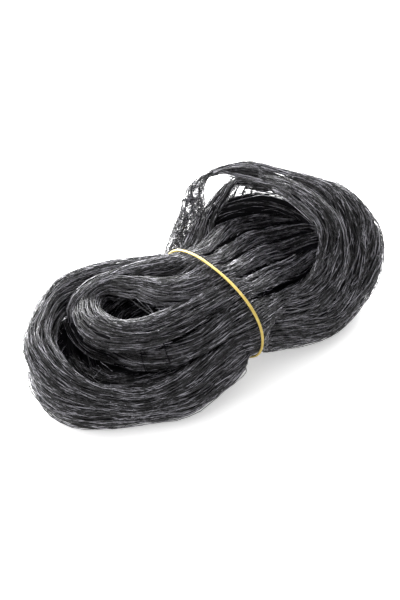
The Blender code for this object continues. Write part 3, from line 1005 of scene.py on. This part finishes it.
rng = np.random.default_rng(61)
neck_girth = 2 * math.pi * math.sqrt((WAIST_HALF_WIDTH**2 + WAIST_HALF_HEIGHT**2) / 2)
neck_count = 2 * int(neck_girth / TWINE_PITCH / 2)
neck_swells = lock_swells(rng, neck_girth)
neck_distance = np.arange(-NECK_STEPS, NECK_STEPS + 1)[:, None] * NECK_STEP
neck_distance = neck_distance + np.zeros((1, neck_count))
neck_even = 2 * math.pi * np.arange(neck_count) / neck_count
for layer, deep in enumerate(LAYER_DEPTHS):
    even = neck_even + rng.uniform(0, 2 * math.pi)
    seeds = np.stack((WAIST_X + 0 * even, WAIST_Y + WAIST_HALF_WIDTH * np.cos(even),
                      WAIST_Z + WAIST_HALF_HEIGHT * np.sin(even)), 1) + FOLDS_TO_HANK
    left, left_seams = comb(seeds, LEFT, (outer_ring_low, outer_ring_top) + inner_turns)
    right, right_seams = comb(seeds, RIGHT, fan_locks + fan_bed + hood)
    spot = np.concatenate((left[::-1], right[1:]))
    seams = np.concatenate((left_seams[::-1], right_seams[1:]))
    seams = seams * np.clip((np.abs(neck_distance) - SEAMS_FROM) / SEAM_RISE, 0, 1)
    angle, sunk = draw_locks(neck_swells, even, neck_distance)
    period = rng.uniform(*SWAY_LENGTHS, neck_count)
    begin = rng.uniform(0, 2 * math.pi, neck_count)
    own = np.sin(2 * math.pi * neck_distance / period + begin)
    wander = SWAY * own + rng.normal(0, NECK_SHAKE, spot.shape[:2])
    angle = angle + wander * 2 * math.pi / neck_girth
    start = rng.integers(0, NECK_KNOT_STEPS)
    knots = (np.arange(len(spot)) + start) % NECK_KNOT_STEPS == 0
    for half in range(2):
        rows = slice(half, None, 2)
        angle[rows] = tie(angle[rows], knots[rows])
    free = np.abs(neck_distance) < rng.uniform(NECK_SHORTEST, 1, neck_count) * NECK_REACH
    reach = (free * np.abs(neck_distance)).max(0)
    to_end = reach - np.abs(neck_distance)
    dive = np.clip((DIVE_LENGTH - to_end) / DIVE_LENGTH, 0, 1)**DIVE_CURVE
    depth = (deep + LOCK_SINK * sunk + NECK_SWAY_DEEP * own
             + rng.normal(0, NECK_SHAKE_DEEP, spot.shape[:2]) + DIVE_DEPTH * dive
             + SEAM_DEPTH * seams)
    along = unit(np.gradient(spot, axis=0))
    round_neck = np.roll(spot, -1, axis=1) - np.roll(spot, 1, axis=1)
    round_neck = round_neck - along * (round_neck * along).sum(-1)[..., None]
    shift = (angle - even) * neck_girth / 2 / math.pi
    spot, out = on_skin(spot + unit(round_neck) * shift[..., None], depth)
    radius = TWINE_RADIUS * rng.uniform(*THICKNESSES, neck_count)
    spot[..., 2] = np.maximum(spot[..., 2], radius + FLOOR_GAP)
    spared = rng.uniform(0, 1, neck_count) < UNDERSIDE_SHARE
    shown = free & ((spot[..., 2] > UNDERSIDE) | spared)
    tone = rng.uniform(0, LAST_TONE, neck_count)
    add_tubes(neck_twine, spot, out, shown, radius, tone, neck_distance + NECK_TONE_START)
finish_batch("neck_packing", neck_core, packed_net_and_shade)
finish_batch("neck_twine", neck_twine, black_twine)


# ---------------------------------------------------------------------------------------------
# Loose threads.
# Some twines have slipped out of the turns. They stand off the rim in flat arcs, run slantwise
# over the locks, and cross the eye and the hollow in front of the coil.
# ---------------------------------------------------------------------------------------------
# Their thickness, steps and lengths, how deep their ends lie, how they shake, and how far they
# stay off the floor.
STRAY_RADIUS = 0.17
STRAY_STEPS = 11
STRAY_LENGTHS = (20, 60)
STRAY_DEPTH, STRAY_SHAKE = 0.5, 0.15
STRAY_FLOOR_GAP = 0.4


def lay_strays(batch, line, seed, count, reach, angles, lift, slant):
    """Threads off a fold's skin, around its far end: how far from it, how high and how slant."""
    rng = np.random.default_rng(seed)
    far = np.argmax(np.abs(line["centre"][:, 0])) * FINE_STEP
    part = np.linspace(0, 1, STRAY_STEPS)[:, None]
    distance = (far + rng.uniform(-reach, reach, count)
                + (part - 0.5) * rng.uniform(*STRAY_LENGTHS, count))
    angle = rng.uniform(*angles, count) + (part - 0.5) * rng.normal(0, slant, count)
    arc = rng.uniform(0.3, 1, count) * lift * np.sin(math.pi * part)
    depth = STRAY_DEPTH - arc + rng.normal(0, STRAY_SHAKE, distance.shape)
    spot, out = on_fold(line, distance, angle, depth)
    spot = draw_in(spot, depth) + FOLDS_TO_HANK
    spot[..., 2] = np.maximum(spot[..., 2], STRAY_FLOOR_GAP)
    add_tubes(batch, spot, out, np.ones(distance.shape, bool),
              STRAY_RADIUS * rng.uniform(*THICKNESSES, count), rng.uniform(0, LAST_TONE, count),
              distance)


# How slack the threads between two places are, how they shake, and the length of their tone.
THREAD_BOW, THREAD_SHAKE = 0.8, 0.1
THREAD_RUN = 20


def lay_threads(batch, ends, seed):
    """Slack threads between pairs of ends."""
    rng = np.random.default_rng(seed)
    ends = np.array(ends, float)
    part = np.linspace(0, 1, STRAY_STEPS)[:, None, None]
    spot = ends[:, :3] * (1 - part) + ends[:, 3:] * part
    bow = rng.normal(0, THREAD_BOW, (1, len(ends), 3)) * (0.4 + 0.6 * np.sin(math.pi * part))
    spot = spot + bow + rng.normal(0, THREAD_SHAKE, spot.shape) + FOLDS_TO_HANK
    out = np.zeros(spot.shape) + (0, 0, 1)
    distance = np.zeros(spot.shape[:2]) + THREAD_RUN * part[..., 0]
    add_tubes(batch, spot, out, np.ones(distance.shape, bool), np.full(len(ends), STRAY_RADIUS),
              rng.uniform(0, LAST_TONE, len(ends)), distance)


loose = new_batch()
lay_strays(loose, outer_ring_top, 71, count=16, reach=40, angles=(-1.3, -0.2), lift=3.5,
           slant=0.2)
lay_strays(loose, outer_ring_low, 72, count=12, reach=45, angles=(-0.4, 0.6), lift=3, slant=0.2)
lay_strays(loose, outer_ring_top, 73, count=40, reach=70, angles=(0.3, 2.6), lift=0.8, slant=0.8)
lay_strays(loose, coil, 74, count=26, reach=40, angles=(0.2, 2.8), lift=0.8, slant=0.9)
for turn, line in enumerate(hood):
    lay_strays(loose, line, 75 + turn, count=26, reach=60, angles=(-0.6, 2.4), lift=1, slant=0.6)

# Threads from one place to another: x, y and z of one end, then of the other.
THREADS_ACROSS = (
    (-85, 4, 34, -86, -5, 24), (-87, -1, 24, -87, -16, 25), (-83, -17, 25, -74, -10, 22),
    (-87, -5, 22, -78, -1, 22), (-89, -11, 24, -79, -10, 22), (-91, 10, 30, -86, 4, 26),
    (-77, 2, 24, -74, -5, 20), (-45, 20, 41, -44, -2, 41), (-43, 18, 41, -43, -3, 41),
    (-41, 17, 41, -43, -3, 40), (-47, 22, 41, -45, -1, 41), (-36, 13, 42, -41, -4, 42),
    (-35, 12, 42, -39, -4, 42), (-34, 12, 42, -38, -4, 42), (-33, 11, 42, -37, -4, 42))
VEIL_KNOT = (17, 53, 57, 31, 55, 51)
GAP_CROSSINGS = ((52, 45, 57, 47, 46, 48), (56, 43, 57, 52, 43.5, 48), (60, 41, 56, 57, 41.5, 48))
# Near-black threads across the flat leg in front of the coil are painted shade: marks for the
# shadows between the crossing meshes there.
LEG_SHADE_MARKS = ((-58, -9, 30, -59, -14.5, 18.5), (-48.5, -16, 35.5, -49, -22.5, 25.5))
lay_threads(loose, THREADS_ACROSS, 79)
lay_threads(loose, (VEIL_KNOT,) * 12, 80)
lay_threads(loose, GAP_CROSSINGS * 9, 81)
finish_batch("loose_threads", loose, black_twine)
# The leg's painted shade marks, in the near-black packing's material.
shade_marks = new_batch()
lay_threads(shade_marks, LEG_SHADE_MARKS * 4, 82)
finish_batch("leg_shade_marks", shade_marks, packed_net_and_shade)


# ---------------------------------------------------------------------------------------------
# Rubber band.
# An ordinary band of amber rubber, moulded as a tube and cut, stretched once round the waist.
# Its stretch makes it thin and even, and it lies in the pinch that it draws in the net.
# ---------------------------------------------------------------------------------------------
# The band's section, how far its middle stands out from the waist's oval, its steps and sides,
# and the radius of the ring that it is shaped from.
BAND_HALF_WIDE, BAND_HALF_THICK = 0.74, 0.7
BAND_OUT = 1.15
BAND_STEPS, BAND_SIDES = 240, 16
RING_RADIUS = 10

bpy.ops.object.select_all(action="DESELECT")
bpy.ops.mesh.primitive_torus_add(major_segments=BAND_STEPS, minor_segments=BAND_SIDES,
                                 major_radius=RING_RADIUS, minor_radius=1)
rubber = bpy.context.object
rubber.name = "rubber_band_stretched"
for corner in rubber.data.vertices:
    ringwise = Vector((corner.co.x, corner.co.y))
    turn = math.atan2(ringwise.y, ringwise.x)
    outward, sideways = ringwise.length - RING_RADIUS, corner.co.z
    uneven = 1 + 0.05 * math.sin(3 * turn + 0.7) + 0.03 * math.sin(11 * turn)
    grow = BAND_OUT + outward * BAND_HALF_THICK * uneven
    cos, sin = math.cos(turn), math.sin(turn)
    power = 2 / WAIST_SQUARENESS
    y = (WAIST_HALF_WIDTH + grow) * math.copysign(abs(cos)**power, cos)
    z = (WAIST_HALF_HEIGHT + grow) * math.copysign(abs(sin)**power, sin)
    along = sideways * BAND_HALF_WIDE * uneven + WAIST_LEAN * z
    corner.co = (Vector((WAIST_X + along, WAIST_Y + y, WAIST_Z + z))
                 + Vector(FOLDS_TO_HANK)) * MM
bpy.ops.object.mode_set(mode="EDIT")
bpy.ops.mesh.select_all(action="SELECT")
bpy.ops.mesh.normals_make_consistent(inside=False)
bpy.ops.object.mode_set(mode="OBJECT")
bpy.ops.object.shade_smooth()

amber = new_material("amber_rubber")
place = amber.node_tree.nodes.new("ShaderNodeTexCoord").outputs["Object"]
mottle = noise_colour(amber, place, scale=260, detail=3, rough=0.5,
                      stops=((0.3, (0.42, 0.3, 0.07)), (0.7, (0.55, 0.43, 0.13))))
noise_roughness(amber, mottle, levels=(0, 1), roughnesses=(0.3, 0.5))
noise_bump(amber, mottle, strength=0.28, height=0.0001)
shader_of(amber)["Specular IOR Level"].default_value = 0.25
rubber.data.materials.append(amber)
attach(rubber, "root")
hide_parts("rubber_band")


bpy.context.view_layer.update()
